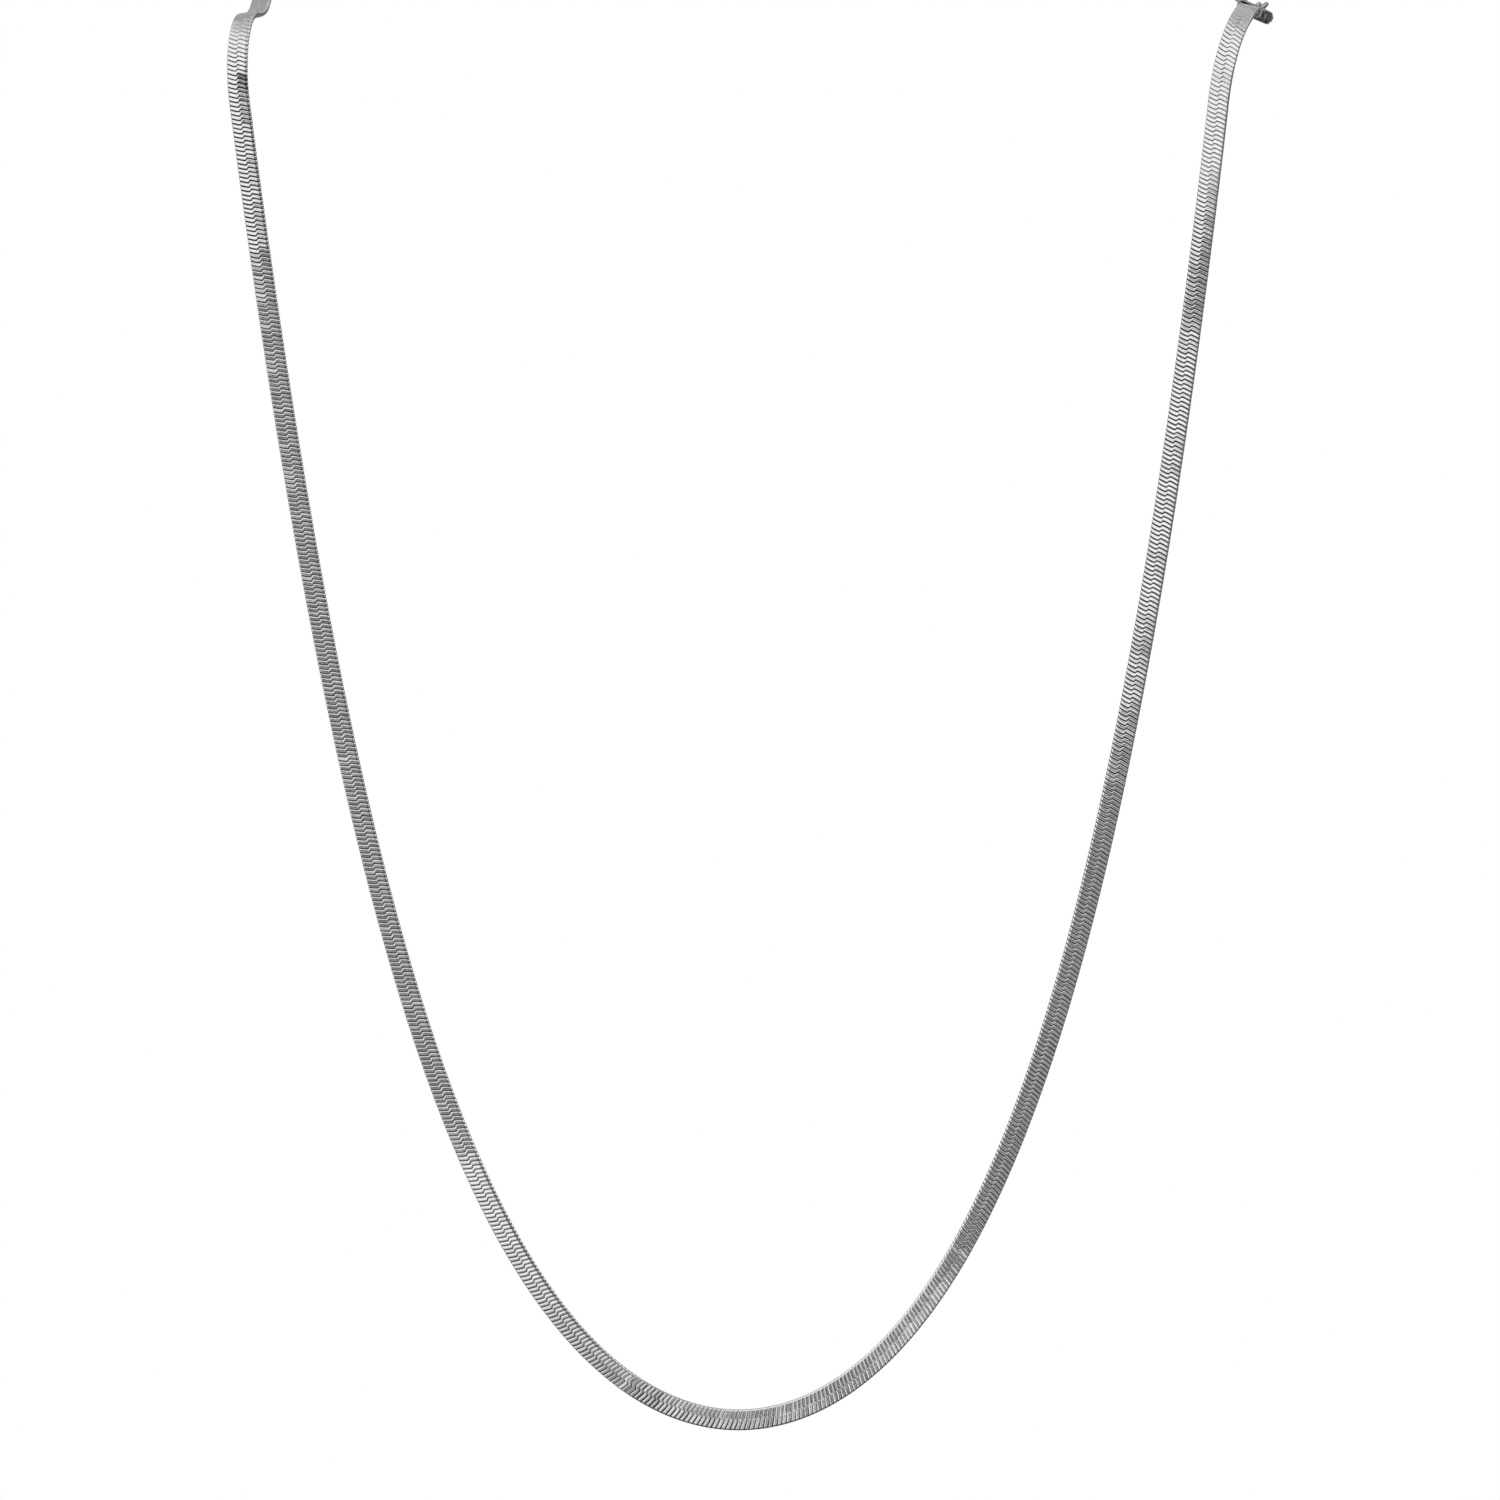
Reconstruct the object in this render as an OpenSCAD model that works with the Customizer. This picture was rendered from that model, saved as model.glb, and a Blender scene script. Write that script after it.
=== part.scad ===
// Flat chain necklace, hanging as worn: one flat strip of chain closed by a lobster clasp.
// Millimetres, +Z up, +X to the wearer's left, the viewer in front at -Y.
// The origin is the middle of the neck opening, level with the tops of the shoulders.

/* [Chain] */
// Width of the flat strip
strip_width = 3.0; // [2.6:0.1:3.4]
// Thickness of the flat strip
strip_thickness = 0.95; // [0.8:0.05:1.1]
// How square the strip's section is: 1 is an oval, smaller is squarer
edge_roundness = 0.4; // [0.3:0.1:0.8]

/* [Hanging front] */
// From the shoulders down to the lowest point of the front
front_drop = 201; // [190:1:210]
// Height over the lowest point up to which the front hangs free
free_height = 188; // [180:1:188]
// Radius of the hanging curve at its lowest point, on the side of the left end
bottom_radius_left = 23.6; // [23:0.1:24.5]
// The same radius on the side of the right end
bottom_radius_right = 23.85; // [23:0.05:24.5]
// How far the left arm drifts outwards for each millimetre of height
lean_left = 0.017; // [0:0.001:0.02]
// How far in front of the neck opening's middle the front hangs
front_y = 39; // [37:1:41]

/* [Neck] */
// Half the distance between the tops of the shoulders
shoulder_half = 70.0; // [68:0.5:72]
// How far behind the front the strip lies flat over a shoulder
shoulder_depth = 6.2; // [5.5:0.1:7]
// Distance of the nape behind the neck opening's middle
nape_y = 36.8; // [35:0.2:39]
// Height of the nape over the shoulders
nape_z = 30; // [26:1:34]
// Outward slope of the strip at the nape
nape_tilt = 48; // [30:1:60]
// Turn of the strip towards the neck as it passes over the left shoulder
left_heading = 16; // [12:1:20]

/* [Clasp line] */
// Turn of the line of the clasp away from straight back, towards the outside
clasp_heading = 5; // [4:1:10]
// Rise of that line towards the back
clasp_climb = 1; // [1:1:8]
// Outward slope of the clasp's flat side
clasp_tilt = 24; // [10:1:30]

/* [Fittings] */
// Length of an end cap's sleeve
cap_length = 4.0; // [3.6:0.1:4.4]
// Wall of an end cap
cap_wall = 0.28; // [0.25:0.01:0.35]
// Gap between two pieces that fit together
gap = 0.1; // [0.08:0.01:0.12]
// Radius of the wire of both rings
ring_wire = 0.3; // [0.25:0.01:0.3]
// Radius of the jump ring, to the middle of its wire
jump_ring_radius = 1.4; // [1.4:0.05:1.6]
// Radius of the catch ring, to the middle of its wire
catch_ring_radius = 2.0; // [1.95:0.05:2.2]

/* [Clasp] */
// Thickness of the clasp
clasp_thickness = 1.9; // [1.8:0.1:2]
// Radius of the hook, to the middle of its arm
hook_radius = 2.0; // [2:0.05:2.1]
// Width of the hook's arm
hook_arm = 1.1; // [1:0.05:1.15]
// From the clasp's eye to the middle of the hook
hook_x = 7.6; // [7.4:0.1:8]
// Radius of the clasp's round root
root_radius = 2.15; // [2:0.05:2.2]

/* [Hidden] */
$fn = 64;
cut = 0.5;

// Columns of a ring of the chain, of a station and of a leg between two stations
POINT = 0;
ALONG = 1;
FACE = 2;
CURVE = 0;
FACES = 1;

// Steps along each stretch of the chain and points round its section
front_step = 3.4;
shoulder_steps = 12;
back_steps = 16;
section_sides = 12;

// Places of the stations that the sizes above leave open
right_out = 3.2;
right_up = 1;
left_tilt = 2;
side_step = [1.6, 8, 3.6];
side_heading = 6;
side_climb = 42;
side_tilt = 12;
nape_x = 3;

// Cap eye: a flat tab with a hole for a ring
eye_hole = 0.7;
eye_rim = 1.25;
eye_neck = 1.3;
eye_tab = 0.56;
cap_seat = 3.2;
cap_corner = 0.84;
pocket_corner = 0.44;

// Clasp eye: a round wire loop
loop_radius = 1.1;
loop_wire = 0.38;
ring_slack = 0.15;
hook_slack = 0.35;
jump_ring_roll = 28;
catch_ring_roll = 26;

// Places along the line of the clasp, from the front cap's open end
front_hole_at = cap_length + eye_neck;
jump_ring_at = front_hole_at + ring_slack + jump_ring_radius;
clasp_at = jump_ring_at + jump_ring_radius + ring_slack;
hook_inside = hook_x + hook_radius - hook_arm / 2;
catch_ring_at = clasp_at + hook_inside - ring_wire - hook_slack + catch_ring_radius;
back_hole_at = catch_ring_at + catch_ring_radius + ring_slack;
clasp_line = back_hole_at + eye_neck + cap_length;

// Clasp root, arm, lever and pin, in the clasp's own frame
root_x = 2.95;
root_edge = 0.5;
arm_radius = 14;
arm_corner = 0.45;
lever_thickness = 0.84;
slot_width = 1.0;
slot_wall_y = 1.0;
slot_back_x = 1.45;
pivot_x = 3.2;
pivot_y = hook_radius - arm_radius * (1 - cos(asin((hook_x - pivot_x) / arm_radius)));
pin_radius = 0.35;
pin_hole_body = pin_radius + 0.02;
pin_hole_lever = pin_radius + 0.04;
lever_root = 0.9;
lever_full_x = 5.35;
tab_x = 0.55;
tab_out = 1.2;
tab_radius = 0.5;
tip_turn = 14;
tip_gap = 0.15;
lever_tip_x = hook_x - (hook_radius + hook_arm / 2) * sin(tip_turn) - gap;

function unit(v) = v / norm(v);

// Direction of travel from a heading, measured from +Y towards +X, and a climb
function travel(heading, climb) = [
    sin(heading) * cos(climb), cos(heading) * cos(climb), sin(climb)];

// Face of a strip on that course: upwards, leaning by tilt to the outside of the neck
function face(heading, climb, tilt) =
    cos(tilt) * [-sin(heading) * sin(climb), -cos(heading) * sin(climb), cos(climb)]
    + sin(tilt) * [-cos(heading), sin(heading), 0];

function station(point, heading, climb, tilt) = [
    point, travel(heading, climb), face(heading, climb, tilt)];

// A leg leaves station a and arrives at station b on one smooth curve
function leg(a, b, leave, arrive) = [
    [a[POINT], a[POINT] + leave * a[ALONG], b[POINT] - arrive * b[ALONG], b[POINT]],
    [a[FACE], b[FACE]]];

function curve_point(p, t) =
    pow(1 - t, 3) * p[0] + 3 * pow(1 - t, 2) * t * p[1]
    + 3 * (1 - t) * pow(t, 2) * p[2] + pow(t, 3) * p[3];

function curve_slope(p, t) =
    pow(1 - t, 2) * (p[1] - p[0]) + 2 * (1 - t) * t * (p[2] - p[1])
    + pow(t, 2) * (p[3] - p[2]);

function leg_station(l, t) = [
    curve_point(l[CURVE], t), unit(curve_slope(l[CURVE], t)),
    (1 - t) * l[FACES][0] + t * l[FACES][1]];

function leg_stations(l, steps) = [for (i = [0 : steps]) leg_station(l, i / steps)];

// The hanging front: a catenary, each arm with its own radius, by length s from its
// lowest point, positive on the right arm; the chain travels from right to left
function arm_radius_at(s) = s < 0 ? bottom_radius_left : bottom_radius_right;
function sinh_at(s) = s / arm_radius_at(s);
function height_at(s) = arm_radius_at(s) * (sqrt(1 + pow(sinh_at(s), 2)) - 1);
function drift_at(s) = s < 0 ? lean_left : 0;
function front_station(s) =
    let (q = sinh_at(s), a = arm_radius_at(s), h = height_at(s))
    [[a * ln(q + sqrt(q * q + 1)) - drift_at(s) * h, -front_y, h - front_drop],
     unit([-1 + drift_at(s) * q, 0, -q]),
     [0, -1, 0]];

function free_length(a) = a * sqrt(pow(1 + free_height / a, 2) - 1);
right_free = free_length(bottom_radius_right);
left_free = free_length(bottom_radius_left);
front_steps = ceil((right_free + left_free) / front_step);

// Stations of the loop, in the order of travel
clasp_front = station(
    [shoulder_half + right_out, shoulder_depth - front_y, right_up],
    180 + clasp_heading, -clasp_climb, clasp_tilt);
clasp_back = [clasp_front[POINT] - clasp_line * clasp_front[ALONG],
              clasp_front[ALONG], clasp_front[FACE]];
front_right = front_station(right_free);
front_left = front_station(-left_free);
left_top = station([-shoulder_half, shoulder_depth - front_y, 0], left_heading, 0, left_tilt);
left_side = station(left_top[POINT] + side_step, side_heading, side_climb, side_tilt);
nape = station([nape_x, nape_y, nape_z], 90, 0, nape_tilt);

right_shoulder_leg = leg(clasp_front, front_right, leave = 3.5, arrive = 11);
left_shoulder_leg = leg(front_left, left_top, leave = 6.5, arrive = 5);
left_side_leg = leg(left_top, left_side, leave = 3.5, arrive = 3.5);
left_back_leg = leg(left_side, nape, leave = 30, arrive = 44);
right_back_leg = leg(nape, clasp_back, leave = 44, arrive = 34);

function chain_end(s, length) = [s[POINT] + length * s[ALONG], s[ALONG], s[FACE]];

front_stations = concat(
    [chain_end(clasp_front, -cap_seat)],
    leg_stations(right_shoulder_leg, shoulder_steps),
    [for (i = [1 : front_steps - 1])
        front_station(right_free - i * (right_free + left_free) / front_steps)],
    leg_stations(left_shoulder_leg, shoulder_steps));

back_stations = concat(
    [for (i = [0 : shoulder_steps / 2 - 1]) leg_station(left_side_leg, 2 * i / shoulder_steps)],
    [for (i = [0 : back_steps - 1]) leg_station(left_back_leg, i / back_steps)],
    leg_stations(right_back_leg, back_steps),
    [chain_end(clasp_back, cap_seat)]);

// Flattened round section of the strip: across its width and through its thickness
function rounded(c, p) = sign(c) * pow(abs(c), p);
strip_section = [for (i = [0 : section_sides - 1])
    let (a = 360 * (i + 0.5) / section_sides)
    [strip_width / 2 * rounded(cos(a), edge_roundness) / pow(cos(180 / section_sides), edge_roundness),
     strip_thickness / 2 * rounded(sin(a), edge_roundness) / pow(cos(180 / section_sides), edge_roundness)]];

// One ring of the strip's skin about a station
function skin_ring(s) =
    let (n = unit(s[FACE] - (s[FACE] * s[ALONG]) * s[ALONG]), b = cross(s[ALONG], n))
    [for (q = strip_section) s[POINT] + q[0] * b + q[1] * n];

module sweep(stations) {
    sides = section_sides;
    last = (len(stations) - 1) * sides;
    sides_of_skin = [for (k = [0 : len(stations) - 2]) for (i = [0 : sides - 1])
        let (a = k * sides + i, b = k * sides + (i + 1) % sides)
        each [[a, b + sides, b], [a, a + sides, b + sides]]];
    polyhedron(
        points = [for (s = stations) each skin_ring(s)],
        faces = concat(
            sides_of_skin,
            [[for (i = [0 : sides - 1]) i]],
            [[for (i = [sides - 1 : -1 : 0]) last + i]]),
        convexity = 10);
}

// Puts a piece of the clasp line at its place: x back along the line from the front cap's
// open end, y to the inside of the neck, z out of the strip's face
module on_clasp_line(at) {
    x = -clasp_front[ALONG];
    z = clasp_front[FACE];
    y = cross(z, x);
    o = clasp_front[POINT] + at * x;
    multmatrix([
        [x[0], y[0], z[0], o[0]],
        [x[1], y[1], z[1], o[1]],
        [x[2], y[2], z[2], o[2]],
        [0, 0, 0, 1]]) children();
}

// Rectangle with rounded corners, centred
module round_rect(w, h, r) {
    square([w - 2 * r, h], center = true);
    square([w, h - 2 * r], center = true);
    for (x = [-1, 1], y = [-1, 1])
        translate([x * (w / 2 - r), y * (h / 2 - r)]) circle(r);
}

// Sleeve with an eye on its closed end; the open end is at x = 0
module end_cap() {
    sleeve_w = strip_width + 2 * (gap + cap_wall);
    sleeve_h = strip_thickness + 2 * (gap + cap_wall);
    pocket = cap_seat + gap;
    difference() {
        union() {
            rotate([90, 0, 90])
                linear_extrude(cap_length) round_rect(sleeve_w, sleeve_h, cap_corner);
            translate([cap_length - cap_wall, -eye_rim, -eye_tab / 2])
                cube([eye_neck + cap_wall, 2 * eye_rim, eye_tab]);
            translate([cap_length + eye_neck, 0, -eye_tab / 2]) cylinder(r = eye_rim, h = eye_tab);
        }
        translate([-cut, 0, 0]) rotate([90, 0, 90]) linear_extrude(pocket + cut)
            round_rect(strip_width + 2 * gap, strip_thickness + 2 * gap, pocket_corner);
        translate([cap_length + eye_neck, 0, -eye_tab]) cylinder(r = eye_hole, h = 2 * eye_tab);
    }
}

// Wire ring standing on edge along the line, rolled a little about it
module wire_ring(radius, roll) {
    rotate([90 + roll, 0, 0]) rotate_extrude() translate([radius, 0]) circle(ring_wire);
}

// Stretch of the clasp's arm on an arc about the origin
module arm_arc(radius, from, sweep_angle, width, thickness) {
    rotate([0, 0, from]) rotate_extrude(angle = sweep_angle)
        translate([radius, 0]) round_rect(width, thickness, arm_corner * thickness / clasp_thickness);
}

// Round of the claw from its root along the left arm to the hook's tip
module claw() {
    back_turn = asin((hook_x - root_x) / arm_radius);
    translate([hook_x, 0, 0])
        arm_arc(hook_radius, -90 - tip_turn, 180 + tip_turn, hook_arm, clasp_thickness);
    translate([hook_x, hook_radius - arm_radius, 0])
        arm_arc(arm_radius, 90, back_turn, hook_arm, clasp_thickness);
}

// Round root of the clasp with a rounded rim
module root() {
    translate([root_x, 0, 0]) rotate_extrude() union() {
        translate([0, -clasp_thickness / 2]) square([root_radius - root_edge, clasp_thickness]);
        translate([0, root_edge - clasp_thickness / 2])
            square([root_radius, clasp_thickness - 2 * root_edge]);
        for (z = [-1, 1])
            translate([root_radius - root_edge, z * (clasp_thickness / 2 - root_edge)])
                circle(root_edge);
    }
}

module clasp_shape() {
    difference() {
        union() {
            rotate_extrude() translate([loop_radius, 0]) circle(loop_wire);
            root();
            claw();
        }
        translate([slot_back_x, slot_wall_y - 2 * root_radius, -slot_width / 2])
            cube([2 * root_radius, 2 * root_radius, slot_width]);
        at_pivot() cylinder(r = pin_hole_body, h = 2 * clasp_thickness, center = true);
        tip_notch();
    }
}

module at_pivot() {
    translate([pivot_x, -pivot_y, 0]) children();
}

// Notch in the inner half of the hook's tip, where the lever's end closes
module tip_notch() {
    intersection() {
        at_pivot() cylinder(r = hook_x - pivot_x + tip_gap, h = 2 * clasp_thickness, center = true);
        translate([lever_full_x, -hook_radius - gap / 2, -clasp_thickness])
            cube([hook_x, hook_radius, 2 * clasp_thickness]);
    }
}

// Stretch of the lever's arm from x to the hook's middle, on the mirror image of the claw's arm
module lever_arm(x, width, thickness) {
    turn = asin((hook_x - x) / arm_radius);
    translate([hook_x, arm_radius - hook_radius, 0])
        arm_arc(arm_radius, -90 - turn, turn, width, thickness);
}

module lever_shape() {
    difference() {
        union() {
            at_pivot() cylinder(r = lever_root, h = lever_thickness, center = true);
            lever_arm(pivot_x, hook_arm - gap, lever_thickness);
            lever_arm(lever_full_x, hook_arm, clasp_thickness);
            at_pivot() translate([tab_x - tab_radius, -tab_out, -lever_thickness / 2])
                cube([2 * tab_radius, tab_out, lever_thickness]);
            at_pivot() translate([tab_x, -tab_out, 0])
                cylinder(r = tab_radius, h = lever_thickness, center = true);
        }
        at_pivot() cylinder(r = pin_hole_lever, h = 2 * clasp_thickness, center = true);
        translate([lever_tip_x, -hook_radius + gap / 2 - hook_arm, -clasp_thickness])
            cube([hook_arm, hook_arm, 2 * clasp_thickness]);
    }
}

module chain_front() {
    color([0.78, 0.78, 0.79]) sweep(front_stations);
}

module chain_back() {
    color([0.78, 0.78, 0.79]) sweep(back_stations);
}

module end_cap_front() {
    color([0.7, 0.7, 0.72]) on_clasp_line(0) end_cap();
}

module end_cap_back() {
    color([0.7, 0.7, 0.72]) on_clasp_line(clasp_line) mirror([1, 0, 0]) end_cap();
}

module jump_ring() {
    color([0.72, 0.72, 0.74]) on_clasp_line(jump_ring_at) wire_ring(jump_ring_radius, jump_ring_roll);
}

module catch_ring() {
    color([0.72, 0.72, 0.74]) on_clasp_line(catch_ring_at) wire_ring(catch_ring_radius, catch_ring_roll);
}

module clasp_body() {
    color([0.66, 0.66, 0.68]) on_clasp_line(clasp_at) clasp_shape();
}

module clasp_lever() {
    color([0.6, 0.6, 0.63]) on_clasp_line(clasp_at) lever_shape();
}

module clasp_pin() {
    color([0.55, 0.55, 0.58]) on_clasp_line(clasp_at) at_pivot()
        cylinder(r = pin_radius, h = clasp_thickness - gap, center = true);
}

chain_front();
chain_back();
end_cap_front();
end_cap_back();
jump_ring();
catch_ring();
clasp_body();
clasp_lever();
clasp_pin();
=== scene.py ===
"""The looks of a flat chain necklace with a lobster clasp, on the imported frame.

The path of the chain repeats the values of the part's source, in millimetres and degrees;
everything is turned into metres where the meshes are made. +Z is up, the viewer is at -Y.
"""
import math

import bpy
import numpy as np
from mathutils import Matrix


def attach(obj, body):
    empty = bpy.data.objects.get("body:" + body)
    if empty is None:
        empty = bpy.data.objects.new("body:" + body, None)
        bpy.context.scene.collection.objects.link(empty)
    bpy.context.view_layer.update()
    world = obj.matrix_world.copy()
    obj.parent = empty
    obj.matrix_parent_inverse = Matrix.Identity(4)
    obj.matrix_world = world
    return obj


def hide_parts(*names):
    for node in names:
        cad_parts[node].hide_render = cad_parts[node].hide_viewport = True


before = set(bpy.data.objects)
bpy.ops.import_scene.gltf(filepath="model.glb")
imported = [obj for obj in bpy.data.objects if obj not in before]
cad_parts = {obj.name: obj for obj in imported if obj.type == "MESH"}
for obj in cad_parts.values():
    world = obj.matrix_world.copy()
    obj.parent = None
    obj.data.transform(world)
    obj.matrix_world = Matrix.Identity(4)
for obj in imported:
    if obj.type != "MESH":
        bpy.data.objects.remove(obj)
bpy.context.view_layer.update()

MM = 0.001

# Sizes of the chain's strip and of its loop, as in the source
STRIP_WIDTH = 3.0
STRIP_THICKNESS = 0.95
FRONT_DROP = 201.0
FREE_HEIGHT = 188.0
BOTTOM_RADIUS_LEFT = 23.6
BOTTOM_RADIUS_RIGHT = 23.85
LEAN_LEFT = 0.017
FRONT_Y = 39.0
SHOULDER_HALF = 70.0
SHOULDER_DEPTH = 6.2
NAPE = (3.0, 36.8, 30.0)
NAPE_TILT = 48.0
LEFT_HEADING = 16.0
LEFT_TILT = 2.0
SIDE_STEP = (1.6, 8.0, 3.6)
SIDE_HEADING = 6.0
SIDE_CLIMB = 42.0
SIDE_TILT = 12.0
RIGHT_OUT = 3.2
RIGHT_UP = 1.0
CLASP_HEADING = 5.0
CLASP_CLIMB = 1.0
CLASP_TILT = 24.0
CLASP_LINE = 26.25
CLASP_AT = 8.4
CAP_SEAT = 3.2

# Handles of the curves between stations, at their start and at their end, as in the source
RIGHT_SHOULDER_HANDLES = (3.5, 11.0)
LEFT_SHOULDER_HANDLES = (6.5, 5.0)
LEFT_SIDE_HANDLES = (3.5, 3.5)
LEFT_BACK_HANDLES = (30.0, 44.0)
RIGHT_BACK_HANDLES = (44.0, 34.0)

# Points on the hanging front, on a long and a short curve, and on the strip in a cap, and the
# distance up to which two points are one
FRONT_POINTS = 1800
LONG_POINTS = 600
SHORT_POINTS = 240
CAP_POINTS = 30
SAME_PLACE = 1e-6

# Links: pitch along the strip, width of a plate, thickness of its metal
PITCH = 0.64
PLATE = 0.57
METAL = 0.3

# Course of a link across the strip: slant of its halves, how much of the slant comes towards
# the edges, how far out it reaches, and height and half width of the jog in the middle
SLANT = math.tan(math.radians(18))
SWEEP = 0.5
LEAN_REACH = 1.36
JOG = 0.56 * PITCH
JOG_HALF = 0.18

# Places of a link's stations on the two flat sides, as shares of the flat width, and on the
# rounded edges, in degrees
FRONT_SHARES = (-1, -0.96, -0.91, -0.7, -0.45, -0.25, -0.17, -0.08, 0,
                0.08, 0.17, 0.25, 0.45, 0.7, 0.84, 0.88, 0.94, 1)
BACK_SHARES = (-1, -0.6, -0.17, 0.17, 0.6, 1)
EDGE_BENDS = (60, 30, 0, -30, -60)

# Section of a link, a slightly domed plate: along the strip and in from its skin; how deep each
# of its points lies in the gap, which sets the painted shade it gets, and which of them make sharp
# edges
SECTION = np.array([(-0.13, 0), (0.13, 0), (0.21, 0.018), (PLATE / 2, 0.065), (PLATE / 2, METAL),
                    (-PLATE / 2, METAL), (-PLATE / 2, 0.065), (-0.21, 0.018)])
HIDDEN = np.array([0, 0, 0, 0.35, 1, 1, 0.35, 0])
SHARP = (3, 4, 5, 6)

# Room at each end of the strip, and how far before the lowest point the left run takes over from
# the right one, which keeps each run under 200,000 triangles
END_ROOM = 0.85
HANDOVER = 4.0

# Unevenness of the links: spread of their roll, pitch and slopes of the columns, in degrees for
# one unit of MOTTLE, and reach of the patches that roll alike, with the divisor of their roll
ROLL_STIR = 0.6
PITCH_STIR = 0.8
CROWN_STIR = 0.5
PATCH_REACH = 3
PATCH_DIVISOR = 3.5

# How far a plate's two sides move out for one unit of fill, and how squarely the skin has to
# look out of the face for the bevels to act on it
FILL_WIDTH = 0.03
FRONT_SKIN = 0.6

# Tables by length from the lowest point, positive on the right arm: first the roll of the strip
# about its own line and the slopes of its outer and inner columns, in degrees
ROLL = [(-240, 7), (-215, 7), (-205, 8.5), (-196, 9), (-187, 3), (-180, 0.3), (-72, 0), (-62, 2),
        (-54, 8), (-44, 10.3), (-24, 13.5), (-18, 14), (-15, -8.5), (-8, -7.6), (6, -6.3),
        (14, -5.2), (24, -5.5), (34, -5.5), (42, -2), (48, 0), (100, 0), (116, -3), (126, -7),
        (150, -8.2), (174, -7.6), (180, -3), (190, -8), (198, -10), (210, -9), (240, -9)]
CROWN_OUTER = [(-240, 1), (-185, 1), (-60, 0.5), (-40, 1), (-18, 1), (-12, -1.5), (36, -1.5),
               (50, 0), (140, 0), (165, -1), (176, -2), (184, 1), (192, 4), (198, 3), (203, 0),
               (240, 0)]
CROWN_INNER = [(-240, 1), (-216.2, 1.5), (-215.2, 16), (-213.8, 16), (-213.2, 9), (-212.4, 4),
               (-209, 3), (-207, 3), (-186, 3.5), (-170, 1), (-60, 0.5), (-18, 0.5), (-12, -0.5),
               (36, -1), (50, 0.5), (140, 1), (160, 2), (168, 2), (182, 1), (188, 1), (200, 0),
               (240, 0)]
# Height of the dome of a plate, as a share of the section's, and how uneven the links lie
DOME = [(-240, 0.35), (-216, 0.6), (-208, 0.8), (-195, 1), (-62, 1), (-54, 0.7), (-20, 0.6),
        (-14, 0.2), (40, 0.2), (50, 0.5), (110, 0.55), (120, 0.8), (190, 0.9), (198, 0.6),
        (208, 0.5), (216, 0.3), (240, 0.3)]
MOTTLE = [(-240, 0.6), (-217, 0.8), (-215, 4), (-212, 1.5), (-208, 1), (-204, 1), (-190, 1.6),
          (-180, 1.6), (-70, 1.6), (-58, 1), (-20, 1), (-12, 0.8), (40, 0.6), (60, 1), (100, 1),
          (120, 1.2), (170, 1.2), (180, 1.1), (192, 1.1), (200, 0.8), (240, 0.6)]
# How far the gaps are filled, on the outer and the inner column: at 1 they are nearly closed,
# at 0 as wide as PLATE and PITCH leave them, and below 0 wider; the more they are filled, the
# less painted shade the plates' sides get
FILL_START = [(-240, 0.9), (-224, 0.9), (-221, 0.2), (-218, -0.8)]
FILL_LEFT_ARM = [(-205, -1), (-192, -0.9), (-182, -0.3), (-66, -0.3)]
FILL_RIGHT_ARM = [(110, -0.8), (120, -0.9), (150, -1), (188, -1), (200, -0.3), (212, -0.4),
                  (218, -0.5), (222, 0.4), (225, 0.9), (240, 0.9)]
OUTER_FILL = [*FILL_START, *FILL_LEFT_ARM,
              (-56, -0.1), (-26, -0.5), (-18, -0.2), (40, -0.3), (50, -0.8), *FILL_RIGHT_ARM]
INNER_FILL = [*FILL_START, (-216, -0.8), (-215, -2), (-213.4, -2), (-212.4, -1.2), *FILL_LEFT_ARM,
              (-56, 0), (-26, -0.1), (-18, 0.6), (36, 0.4), (46, -0.5), (54, -0.8),
              *FILL_RIGHT_ARM]
# Radius of the rounded edges, and slope and width of the bevels beside them
OUTER_CORNER = [(-240, 0.14), (20, 0.14), (60, 0.08), (240, 0.08)]
INNER_CORNER = [(-240, 0.3), (-60, 0.34), (-24, 0.34), (-14, 0.12), (240, 0.12)]
OUTER_BEVEL = [(-240, 0), (95, 0), (112, 10), (124, 20), (174, 20), (180, 14), (190, 20),
               (212, 20), (220, 4), (240, 0)]
INNER_BEVEL = [(-240, 3), (-66, 4), (-56, 22), (-20, 26), (-14, 14), (40, 13), (60, 12),
               (180, 11), (200, 4), (240, 3)]
OUTER_BEVEL_WIDTH = [(-240, 0.07), (240, 0.07)]
INNER_BEVEL_WIDTH = [(-240, 0.08), (-20, 0.08), (-14, 0.15), (240, 0.15)]

# Steels: colour, and least and greatest roughness
CHAIN_LOOK = ((0.94, 0.94, 0.96), (0.08, 0.17))
RING_LOOK = ((0.66, 0.66, 0.68), (0.1, 0.2))
CAP_LOOK = ((0.72, 0.72, 0.74), (0.1, 0.2))
# The clasp's and the lever's steels are darker than the other fittings' as painted shade, for the
# shadow the clasp lies in
CLASP_SHADED_LOOK = ((0.38, 0.38, 0.4), (0.08, 0.16))
LEVER_SHADED_LOOK = ((0.42, 0.42, 0.44), (0.1, 0.2))
# Painted shade put on the plates' sides deep in the gaps between them
GAP_SHADE_COLOUR = (0.02, 0.02, 0.022, 1)
# Painted shade put inside the caps' and the clasp's hollows
HOLLOW_SHADE_COLOUR = (0.03, 0.03, 0.032, 1)

# Grain of the chain's and of the fittings' steel: scale, depth in metres, and the share of the
# colour that is left in the low places; then, for both, the ramp from low to high places, how
# much coarser the smears of roughness are, and the strength of the bumps
CHAIN_GRAIN = (3400.0, 0.00004, 0.86)
FITTING_GRAIN = (1800.0, 0.000005, 0.9)
GRAIN_RAMP = (0.3, 0.6)
SMEAR = 14
BUMP = 0.3

# Hollows in a cap and in the clasp that get painted shade, two opposite corners each: back along
# the line, inwards and out of the face
POCKET = ((0.5, -1.62, -0.6), (3.32, 1.62, 0.6))
LEVER_SLOT = ((1.4, -2.3, -0.52), (5.3, 1.02, 0.52))

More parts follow.
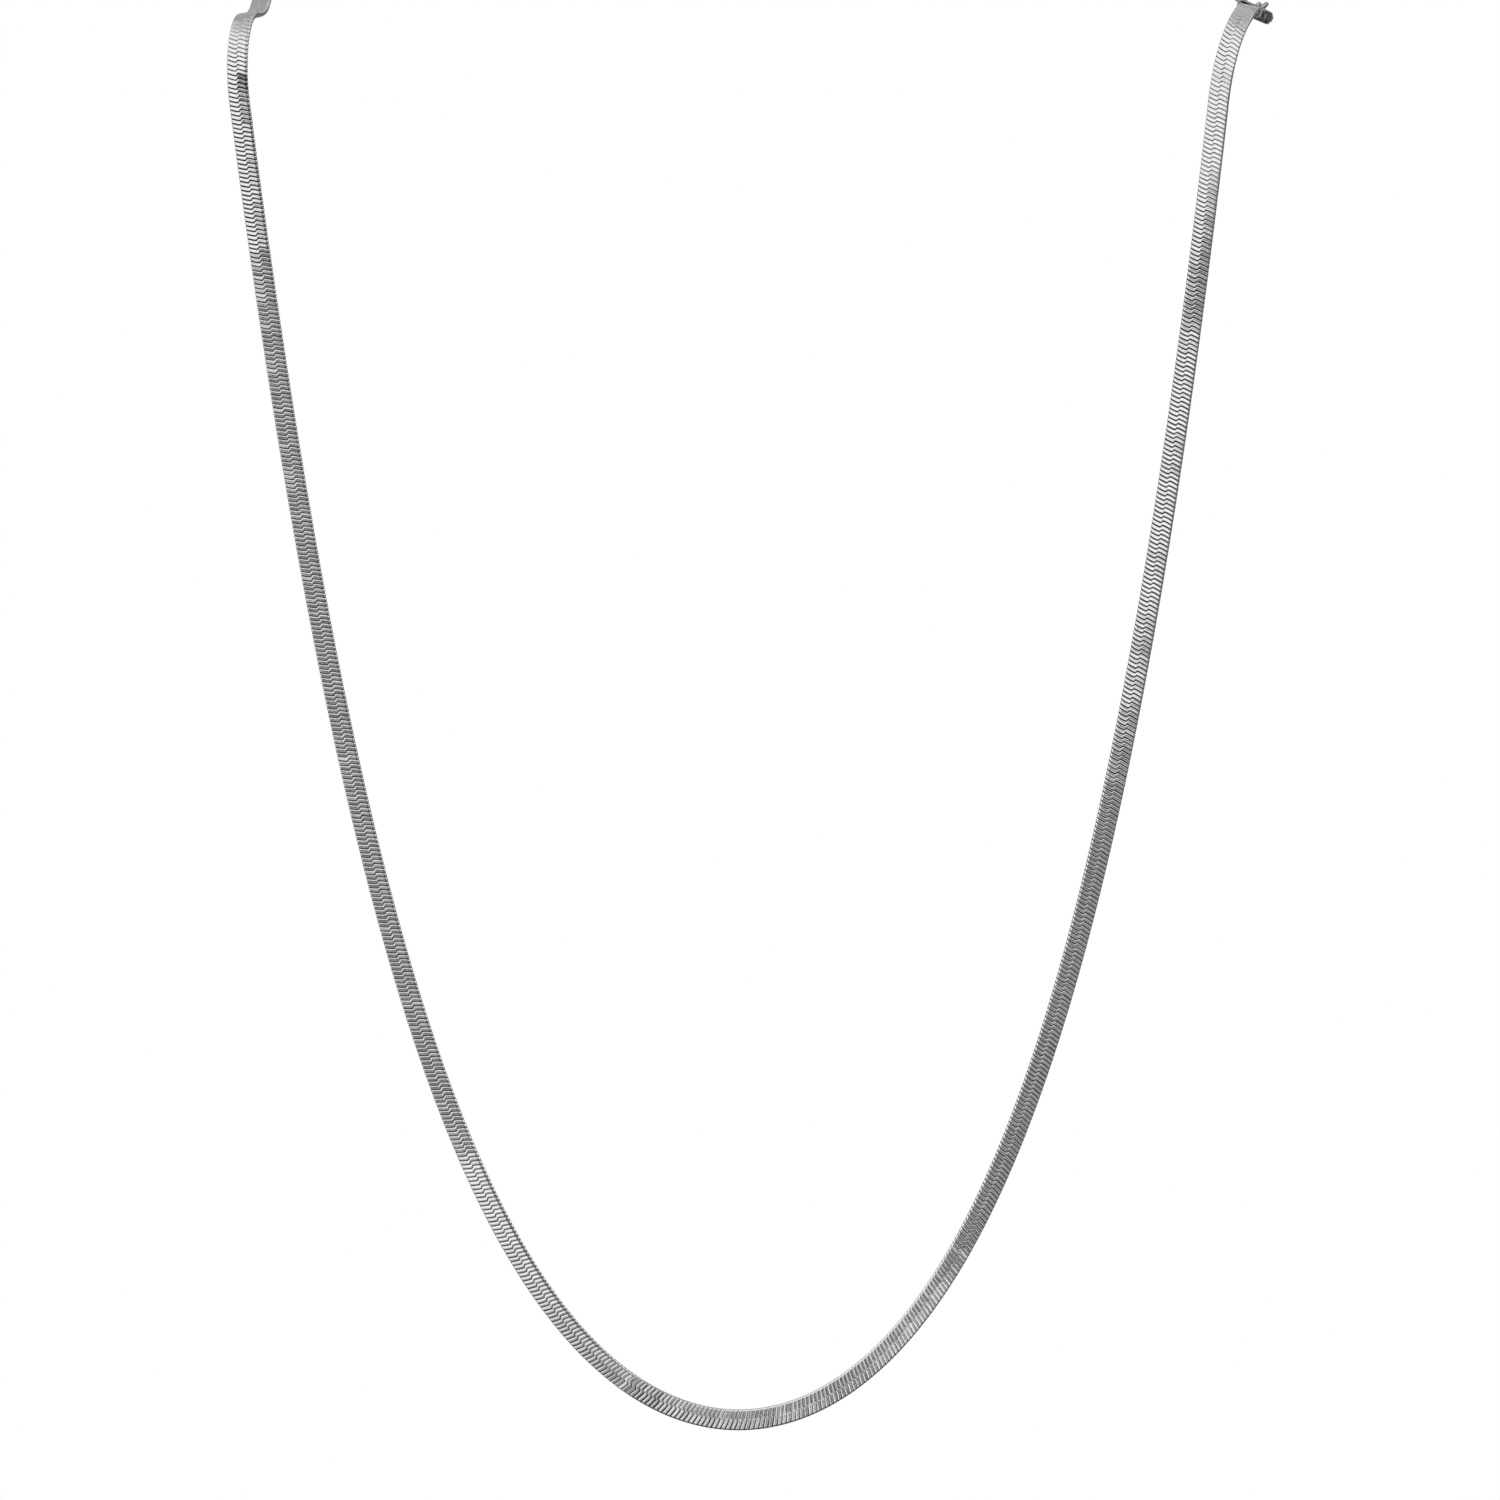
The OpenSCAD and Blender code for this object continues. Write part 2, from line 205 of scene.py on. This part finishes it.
# Rounding of the fittings' edges
SOFT_PIECES = ("end_cap_front", "end_cap_back", "clasp_body", "clasp_lever")
SOFT_WIDTH = 0.06
SOFT_STEPS = 2
SOFT_ANGLE = 40

# Camera: level, far away, as a product shot
FRAME_WIDTH = 214.3
VIEW_DISTANCE = 2000.0
VIEW_X = 1.64
VIEW_Z = -105.3
CLIP_END = 50

# Floor, in metres, pale near the necklace and white far away
FLOOR_Z = -0.26
FLOOR_SIZE = 12.0
FLOOR_COLOUR = (0.82, 0.82, 0.82, 1)
FADE_FROM = 0.25
FADE_TO = 0.8

# Studio: azimuth in degrees from the camera, positive towards +X, and brightness
STUDIO = [(-180, 0.35), (-140, 0.6), (-100, 0.45), (-62, 0.5), (-44, 0.75), (-27, 0.95),
          (-14, 1.0), (-7.5, 0.25), (-5, 0.08), (-2, 0.05), (0, 0.22), (2, 0.58), (6, 0.3),
          (12, 0.1), (44, 0.07), (52, 0.2), (64, 0.13), (110, 0.2), (150, 0.3), (180, 0.35)]
# Elevation, brightness, and how far that takes the place of the studio's
ELEVATION = [(-90, 0.12, 1), (-55, 0.14, 1), (-30, 0.3, 1), (-22, 0.4, 1), (-9, 0.4, 0),
             (9, 1.0, 0), (20, 0.98, 1), (50, 0.85, 1), (66, 0.5, 1), (90, 0.45, 1)]
# A card that dims the light by azimuth, and the elevation above which it doesn't
CARD = [(-180, 0.45), (-120, 0.45), (-95, 1.0), (7, 1.0), (13, 0.3), (44, 0.3), (52, 1.0),
        (100, 1.0), (120, 0.6), (180, 0.45)]
CARD_TOP = [(-90, 0), (56, 0), (61, 1), (90, 1)]

# Sockets of a colour mix node
MIX_SHARE, MIX_FIRST, MIX_SECOND, MIX_RESULT = 0, 6, 7, 2


def unit(v):
    return v / np.linalg.norm(v, axis=-1, keepdims=True)


def station(point, heading, climb, tilt):
    """Place, direction of travel and face of the strip, as in the source."""
    h, c, t = (math.radians(x) for x in (heading, climb, tilt))
    along = (math.sin(h) * math.cos(c), math.cos(h) * math.cos(c), math.sin(c))
    flat = (-math.sin(h) * math.sin(c), -math.cos(h) * math.sin(c), math.cos(c))
    out = (-math.cos(h), math.sin(h), 0)
    face = math.cos(t) * np.array(flat) + math.sin(t) * np.array(out)
    return np.array(point, float), np.array(along), face


def moved(s, length):
    return s[0] + length * s[1], s[1], s[2]


def leg(a, b, handles, count=SHORT_POINTS):
    """Points, directions and faces on one smooth curve from station a to station b."""
    p0, p1, p2, p3 = a[0], a[0] + handles[0] * a[1], b[0] - handles[1] * b[1], b[0]
    t = np.linspace(0, 1, count)[:, None]
    points = (1 - t) ** 3 * p0 + 3 * (1 - t) ** 2 * t * p1 + 3 * (1 - t) * t**2 * p2 + t**3 * p3
    slopes = (1 - t) ** 2 * (p1 - p0) + 2 * (1 - t) * t * (p2 - p1) + t**2 * (p3 - p2)
    return points, unit(slopes), (1 - t) * a[2] + t * b[2]


def straight(a, b):
    """The same on a straight stretch, which keeps the direction and face of station a."""
    t = np.linspace(0, 1, CAP_POINTS)[:, None]
    return (1 - t) * a[0] + t * b[0], np.tile(a[1], (CAP_POINTS, 1)), np.tile(a[2], (CAP_POINTS, 1))


def hanging_front(s):
    """The same on the hanging front, by length from its lowest point."""
    radius = np.where(s < 0, BOTTOM_RADIUS_LEFT, BOTTOM_RADIUS_RIGHT)
    lean = np.where(s < 0, LEAN_LEFT, 0.0)
    q = s / radius
    h = radius * (np.sqrt(1 + q**2) - 1)
    x = radius * np.arcsinh(q) - lean * h
    points = np.stack([x, np.full_like(s, -FRONT_Y), h - FRONT_DROP], -1)
    along = unit(np.stack([-1 + lean * q, np.zeros_like(s), -q], -1))
    return points, along, np.tile([0.0, -1.0, 0.0], (len(s), 1))


def free_length(radius):
    """Length of an arm of the front from its lowest point up to its shoulder's curve."""
    return radius * math.sqrt((1 + FREE_HEIGHT / radius) ** 2 - 1)


def steps(points):
    return np.linalg.norm(np.diff(points, axis=0), axis=1)


clasp_front = station((SHOULDER_HALF + RIGHT_OUT, SHOULDER_DEPTH - FRONT_Y, RIGHT_UP),
                      180 + CLASP_HEADING, -CLASP_CLIMB, CLASP_TILT)


def loop_path():
    """The strip from its end in the front cap round to its end in the back cap: lengths, places,
    directions, faces, and the lengths at which the lowest point and the left shoulder lie."""
    clasp_back = moved(clasp_front, -CLASP_LINE)
    left_top = station((-SHOULDER_HALF, SHOULDER_DEPTH - FRONT_Y, 0), LEFT_HEADING, 0, LEFT_TILT)
    left_side = station(left_top[0] + np.array(SIDE_STEP), SIDE_HEADING, SIDE_CLIMB, SIDE_TILT)
    nape = station(NAPE, 90, 0, NAPE_TILT)
    right_free, left_free = free_length(BOTTOM_RADIUS_RIGHT), free_length(BOTTOM_RADIUS_LEFT)
    free = hanging_front(np.linspace(right_free, -left_free, FRONT_POINTS))
    first, last = ([column[i] for column in free] for i in (0, -1))
    stretches = [
        straight(moved(clasp_front, -CAP_SEAT), clasp_front),
        leg(clasp_front, first, RIGHT_SHOULDER_HANDLES),
        free,
        leg(last, left_top, LEFT_SHOULDER_HANDLES),
        leg(left_top, left_side, LEFT_SIDE_HANDLES),
        leg(left_side, nape, LEFT_BACK_HANDLES, LONG_POINTS),
        leg(nape, clasp_back, RIGHT_BACK_HANDLES, LONG_POINTS),
        straight(clasp_back, moved(clasp_back, CAP_SEAT)),
    ]
    points, along, faces = (np.concatenate([s[i] for s in stretches]) for i in range(3))
    keep = np.r_[True, steps(points) > SAME_PLACE]
    points, along, faces = points[keep], along[keep], faces[keep]
    lengths = np.r_[0, np.cumsum(steps(points))]
    front_start, left_shoulder = (sum(steps(s[0]).sum() for s in stretches[:n]) for n in (2, 4))
    return lengths, points, along, faces, front_start + right_free, left_shoulder


def at_lengths(path, s):
    """Frames of the strip at lengths s: place, along, across (to the inner edge), face, and how
    tightly the strip bends away from its face."""
    def columns(s):
        return [np.stack([np.interp(s, path[0], c[:, i]) for i in range(3)], -1)
                for c in path[1:4]]
    place, along, face = columns(s)
    along = unit(along)
    face = unit(face - (face * along).sum(-1, keepdims=True) * along)
    ahead, behind = (unit(columns(s + step)[1]) for step in (PITCH, -PITCH))
    bend = -((ahead - behind) * face).sum(-1) / (2 * PITCH)
    return place, along, np.cross(along, face), face, bend


def by_side(across, pair):
    """For each link and station, the outer value of a pair on the outer side and the inner one
    on the other."""
    return np.where(across < 0, *(value[:, None] for value in pair))


def link_stations(corners):
    """Stations round each link, whose outer and inner edges are rounded by corners: across and
    face coordinates of the outer skin, the skin's normal and the shift along the strip."""
    bends = np.radians(EDGE_BENDS)
    rows = [(share, 0.0, 1.0) for share in FRONT_SHARES]
    rows += [(1.0, math.cos(a), math.sin(a)) for a in bends]
    rows += [(share, 0.0, -1.0) for share in BACK_SHARES[::-1]]
    rows += [(-1.0, -math.cos(a), -math.sin(a)) for a in bends]
    share, mb, mn = np.array(rows).T
    corner = by_side(share, corners)
    b = share * (STRIP_WIDTH / 2 - corner) + mb * corner
    jog = JOG / 2 * np.sin(np.clip(b / JOG_HALF, -1, 1) * math.pi / 2)
    out = np.clip(np.abs(b) / LEAN_REACH, 0, 1)
    lean = SLANT * LEAN_REACH * ((1 - SWEEP) * out + SWEEP * out**2) * np.sign(b)
    shift = jog - lean + (1 - mn) / 2 * PITCH / 2
    return b, STRIP_THICKNESS / 2 * mn, mb, mn, shift - shift.mean(axis=1, keepdims=True)


def turned(a, b, angle):
    """Two directions at right angles, both turned by an angle from the first to the second."""
    cos, sin = np.cos(angle)[:, None], np.sin(angle)[:, None]
    return cos * a + sin * b, cos * b - sin * a


def plates(path, centres, seed):
    """Places of a run of links, by link, station and point of the section, and how much painted
    shade each of them gets, by how deep it lies in a gap."""
    rng = np.random.default_rng(seed)
    count = len(centres)
    place, along, across, face, bend = at_lengths(path, centres)
    from_bottom = path[4] - centres

    def tabled(*tables):
        return [np.interp(from_bottom, *zip(*table)) for table in tables]

    stir, roll, dome = tabled(MOTTLE, ROLL, DOME)
    weights = np.hanning(2 * PATCH_REACH + 3)[1:-1] / PATCH_DIVISOR
    patches = np.convolve(rng.normal(0, 1, count + 2 * PATCH_REACH), weights, "same")
    patches = patches[PATCH_REACH:-PATCH_REACH]
    roll = np.radians(roll + stir * (rng.normal(0, ROLL_STIR, count) + patches))
    pitch = np.radians(stir * rng.normal(0, PITCH_STIR, count))
    crowns = [np.tan(np.radians(crown + stir * rng.normal(0, CROWN_STIR, count)))
              for crown in tabled(CROWN_OUTER, CROWN_INNER)]
    across, face = turned(across, face, roll)
    along, face = turned(along, face, pitch)

    corners = tabled(OUTER_CORNER, INNER_CORNER)
    b, n, mb, mn, shift = link_stations(corners)
    depth = SECTION[:, 1] * np.where(HIDDEN < 1, dome[:, None, None], 1)
    lb = b[..., None] - depth * mb[:, None]

    slopes = [np.tan(np.radians(bevel)) for bevel in tabled(OUTER_BEVEL, INNER_BEVEL)]
    flats = [STRIP_WIDTH / 2 - corner - width
             for corner, width in zip(corners, tabled(OUTER_BEVEL_WIDTH, INNER_BEVEL_WIDTH))]
    past_flat = np.clip(np.abs(b) - by_side(b, flats), 0, None)
    n = n - by_side(b, slopes) * past_flat * (mn > FRONT_SKIN)
    ln = n[..., None] - depth * mn[:, None]

    fill = by_side(b, tabled(OUTER_FILL, INNER_FILL))[..., None]
    along_section = SECTION[:, 0]
    side = np.where(np.abs(along_section) > PLATE / 2 - SAME_PLACE, np.sign(along_section), 0)
    reach = along_section + FILL_WIDTH * fill * side
    lt = (shift[..., None] + reach) * (1 + bend[:, None, None] * ln)
    crown = by_side(b, crowns)
    ln = ln - crown[..., None] * np.abs(b)[..., None] * np.sign(mn)[:, None]
    places = (place[:, None, None] + lt[..., None] * along[:, None, None]
              + lb[..., None] * across[:, None, None] + ln[..., None] * face[:, None, None])
    # Painted shade: how much of the gap's near-black colour each point gets, less where the gaps
    # are filled
    return places, np.clip(HIDDEN * (1 - fill), 0, 1)


def plate_mesh(name, places, gap_shade):
    """One mesh of closed plates, with the sharp edges of their sections marked and the painted
    shade of the gaps on its points.
    """
    count, stations, sides = gap_shade.shape
    i, k = np.meshgrid(np.arange(stations), np.arange(sides), indexing="ij")
    j, m = (i + 1) % stations, (k + 1) % sides
    quads = np.stack([i * sides + k, i * sides + m, j * sides + m, j * sides + k], -1)
    starts = np.arange(count) * stations * sides
    faces = (quads.reshape(-1, 4)[None] + starts[:, None, None]).reshape(-1, 4)
    mesh = bpy.data.meshes.new(name)
    mesh.from_pydata((places.reshape(-1, 3) * MM).tolist(), [], faces.tolist())
    mesh.update()
    # Painted shade of the gaps, kept on the points for the material
    shade = mesh.attributes.new("gap_shade", "FLOAT", "POINT")
    shade.data.foreach_set("value", gap_shade.ravel().astype(np.float32))
    edges = np.zeros(len(mesh.edges) * 2, int)
    mesh.edges.foreach_get("vertices", edges)
    first, second = (edges.reshape(-1, 2) % sides).T
    sharp = mesh.attributes.new("sharp_edge", "BOOLEAN", "EDGE")
    sharp.data.foreach_set("value", (first == second) & np.isin(first, SHARP))
    mesh.shade_smooth()
    return mesh


def links(name, path, centres, seed):
    """A run of links as one piece."""
    obj = bpy.data.objects.new(name, plate_mesh(name, *plates(path, centres, seed)))
    bpy.context.scene.collection.objects.link(obj)
    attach(obj, "necklace")
    return obj


def feed(tree, target, socket, source):
    """Gives an input a fixed value, or joins it to a pair of a node and its output."""
    if isinstance(source, tuple) and isinstance(source[0], bpy.types.Node):
        tree.links.new(source[0].outputs[source[1]], target.inputs[socket])
    else:
        target.inputs[socket].default_value = source


def node(tree, kind, inputs=None, **settings):
    """A new node with its settings, and its inputs fed by socket."""
    made = tree.nodes.new(kind)
    for key, value in settings.items():
        setattr(made, key, value)
    for socket, source in (inputs or {}).items():
        feed(tree, made, socket, source)
    return made


def mixed(tree, share, first, second, **settings):
    """The result of a colour mix node, as a pair of the node and its output."""
    inputs = {MIX_SHARE: share, MIX_FIRST: first, MIX_SECOND: second}
    return node(tree, "ShaderNodeMix", inputs, data_type="RGBA", **settings), MIX_RESULT


def steel(name, look, grain):
    """A steel with fine grain and smears: its material, tree, shader and colour."""
    (colour, rough), (scale, depth, shadow) = look, grain
    material = bpy.data.materials.new(name)
    material.use_nodes = True
    tree = material.node_tree
    shader = tree.nodes["Principled BSDF"]
    place = node(tree, "ShaderNodeTexCoord")
    noise = node(tree, "ShaderNodeTexNoise",
                 {"Vector": (place, "Object"), "Scale": scale, "Detail": 3.0})
    smear = node(tree, "ShaderNodeTexNoise",
                 {"Vector": (place, "Object"), "Scale": scale / SMEAR, "Detail": 2.0})
    spread = node(tree, "ShaderNodeMapRange",
                  {"Value": (smear, "Fac"), "To Min": rough[0], "To Max": rough[1]})
    bump = node(tree, "ShaderNodeBump",
                {"Height": (noise, "Fac"), "Strength": BUMP, "Distance": depth})
    ramp = node(tree, "ShaderNodeValToRGB", {"Fac": (noise, "Fac")})
    for element, position, level in zip(ramp.color_ramp.elements, GRAIN_RAMP, (shadow, 1)):
        element.position = position
        element.color = (*(c * level for c in colour), 1)
    feed(tree, shader, "Metallic", 1.0)
    feed(tree, shader, "Roughness", (spread, "Result"))
    feed(tree, shader, "Normal", (bump, "Normal"))
    return material, tree, shader, (ramp, "Color")


def chain_steel():
    """Polished plates with painted shade that darkens them towards the gaps between them."""
    material, tree, shader, colour = steel("chain_steel", CHAIN_LOOK, CHAIN_GRAIN)
    # Painted shade: the near-black gap colour where the points lie deep in the gaps
    gap_shade = node(tree, "ShaderNodeAttribute", attribute_name="gap_shade")
    feed(tree, shader, "Base Color", mixed(tree, (gap_shade, "Fac"), colour, GAP_SHADE_COLOUR))
    return material


def fitting_steel(name, look, hollow=None):
    """Polished steel, with painted shade inside a hollow that is given by its origin, axes and
    corners.
    """
    material, tree, shader, colour = steel(name, look, FITTING_GRAIN)
    if hollow:
        origin, axes, corners = hollow
        place = node(tree, "ShaderNodeTexCoord")
        off = node(tree, "ShaderNodeVectorMath", {0: (place, "Object"), 1: origin},
                   operation="SUBTRACT")
        inside = None
        for axis, low, high in zip(axes, *corners):
            dot = node(tree, "ShaderNodeVectorMath", {0: (off, "Vector"), 1: axis},
                       operation="DOT_PRODUCT")
            near = node(tree, "ShaderNodeMath",
                        {0: (dot, "Value"), 1: (low + high) / 2, 2: (high - low) / 2},
                        operation="COMPARE")
            inside = (near, "Value") if inside is None else (
                node(tree, "ShaderNodeMath", {0: inside, 1: (near, "Value")},
                     operation="MULTIPLY"), "Value")
        # Painted shade: the hollow's inside takes a near-black colour
        colour = mixed(tree, inside, colour, HOLLOW_SHADE_COLOUR)
    feed(tree, shader, "Base Color", colour)
    return material


def hollow_at(distance, way, corners):
    """A hollow in a fitting that lies at a distance along the clasp's line and faces along it
    (way 1) or against it (way -1): its origin, its axes and two corners, in metres."""
    line = -clasp_front[1]
    inwards = np.cross(clasp_front[2], line)
    origin = (clasp_front[0] + distance * line) * MM
    axes = [tuple(way * line), tuple(inwards), tuple(clasp_front[2])]
    return tuple(origin), axes, tuple(tuple(v * MM for v in corner) for corner in corners)


def lay_chain():
    """The links, in three runs, in place of the strip's two nodes."""
    path = loop_path()
    whole = path[0][-1]
    count = int((whole - 2 * END_ROOM) / PITCH)
    centres = END_ROOM + np.arange(count + 1) * (whole - 2 * END_ROOM) / count
    on_right, behind = centres < path[4] - HANDOVER, centres >= path[5]
    right = links("links_right", path, centres[on_right], seed=11)
    left = links("links_left", path, centres[~on_right & ~behind], seed=12)
    back = links("links_back", path, centres[behind], seed=13)
    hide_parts("chain_front")
    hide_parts("chain_front")
    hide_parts("chain_back")
    material = chain_steel()
    for piece in (right, left, back):
        piece.data.materials.append(material)


def dress_fittings():
    """Materials and slightly rounded edges for the solids that stay."""
    ring_steel = fitting_steel("ring_steel", RING_LOOK)
    looks = {
        "end_cap_front": fitting_steel("front_cap_steel", CAP_LOOK, hollow_at(0, 1, POCKET)),
        "end_cap_back": fitting_steel("back_cap_steel", CAP_LOOK,
                                      hollow_at(CLASP_LINE, -1, POCKET)),
        # The clasp and its lever get the darker steels of painted shade
        "clasp_body": fitting_steel("clasp_shaded_steel", CLASP_SHADED_LOOK, hollow_at(CLASP_AT, 1, LEVER_SLOT)),
        "clasp_lever": fitting_steel("lever_shaded_steel", LEVER_SHADED_LOOK),
        "jump_ring": ring_steel,
        "catch_ring": ring_steel,
        "clasp_pin": ring_steel,
    }
    for name, material in looks.items():
        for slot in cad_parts[name].material_slots:
            slot.material = material
    for name in SOFT_PIECES:
        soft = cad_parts[name].modifiers.new("soft_edges", "BEVEL")
        soft.width = SOFT_WIDTH * MM
        soft.segments = SOFT_STEPS
        soft.limit_method = "ANGLE"
        soft.angle_limit = math.radians(SOFT_ANGLE)


def place_camera():
    data = bpy.data.cameras.new("camera")
    data.lens = data.sensor_width * VIEW_DISTANCE / FRAME_WIDTH
    data.clip_end = CLIP_END
    camera = bpy.data.objects.new("camera", data)
    camera.location = (VIEW_X * MM, (-FRONT_Y - VIEW_DISTANCE) * MM, VIEW_Z * MM)
    camera.rotation_euler = (math.pi / 2, 0, 0)
    bpy.context.scene.collection.objects.link(camera)
    bpy.context.scene.camera = camera


def lay_floor():
    bpy.ops.mesh.primitive_plane_add(size=FLOOR_SIZE, location=(0, 0, FLOOR_Z))
    floor = bpy.context.object
    floor.name = "floor"
    floor.visible_glossy = False
    material = bpy.data.materials.new("floor")
    material.use_nodes = True
    tree = material.node_tree
    shader = tree.nodes["Principled BSDF"]
    feed(tree, shader, "Base Color", FLOOR_COLOUR)
    feed(tree, shader, "Roughness", 0.7)
    feed(tree, shader, "Specular IOR Level", 0.2)
    white = node(tree, "ShaderNodeEmission", {"Strength": 1.0})
    place = node(tree, "ShaderNodeTexCoord")
    far = node(tree, "ShaderNodeVectorMath", {0: (place, "Object")}, operation="LENGTH")
    fade = node(tree, "ShaderNodeMapRange",
                {"Value": (far, "Value"), "From Min": FADE_FROM, "From Max": FADE_TO},
                interpolation_type="SMOOTHSTEP")
    mix = node(tree, "ShaderNodeMixShader", {0: (fade, "Result"), 1: (shader, 0), 2: (white, 0)})
    feed(tree, tree.nodes["Material Output"], "Surface", (mix, 0))
    floor.data.materials.append(material)


def angle_ramps(tree, angle, reach, *tables):
    """Grey ramps over an angle between -reach and reach, from rows of the angle in degrees, the
    brightness and, if it isn't 1, the alpha."""
    half = math.radians(reach)
    share = node(tree, "ShaderNodeMapRange",
                 {"Value": (angle, "Value"), "From Min": -half, "From Max": half})
    for table in tables:
        ramp = node(tree, "ShaderNodeValToRGB", {"Fac": (share, "Result")})
        elements = ramp.color_ramp.elements
        while len(elements) > 1:
            elements.remove(elements[-1])
        for n, (degrees, level, *alpha) in enumerate(table):
            position = (degrees + reach) / (2 * reach)
            element = elements[0] if n == 0 else elements.new(position)
            element.position = position
            element.color = (level, level, level, *(alpha or [1]))
        yield ramp


def light_studio():
    """The world: bands of light by azimuth and elevation, and plain white for the camera."""
    world = bpy.data.worlds.new("studio")
    bpy.context.scene.world = world
    world.use_nodes = True
    tree = world.node_tree
    place = node(tree, "ShaderNodeTexCoord")
    axes = node(tree, "ShaderNodeSeparateXYZ", {0: (place, "Generated")})
    towards = node(tree, "ShaderNodeMath", {0: (axes, "Y"), 1: -1.0}, operation="MULTIPLY")
    turn = node(tree, "ShaderNodeMath", {0: (axes, "X"), 1: (towards, 0)}, operation="ARCTAN2")
    rise = node(tree, "ShaderNodeMath", {0: (axes, "Z")}, operation="ARCSINE")
    studio, card = angle_ramps(tree, turn, 180, STUDIO, CARD)
    bands, card_top = angle_ramps(tree, rise, 90, ELEVATION, CARD_TOP)
    light = mixed(tree, (bands, "Alpha"), (studio, "Color"), (bands, "Color"))
    dimming = mixed(tree, 1.0, (card, "Color"), (card_top, "Color"), blend_type="LIGHTEN")
    dimmed = node(tree, "ShaderNodeVectorMath", {0: light, 1: dimming}, operation="MULTIPLY")
    rays = node(tree, "ShaderNodeLightPath")
    seen = mixed(tree, (rays, "Is Camera Ray"), (dimmed, "Vector"), (1, 1, 1, 1))
    feed(tree, tree.nodes["Background"], "Color", seen)


lay_chain()
dress_fittings()
place_camera()
lay_floor()
light_studio()
bpy.context.scene.view_settings.view_transform = "Standard"
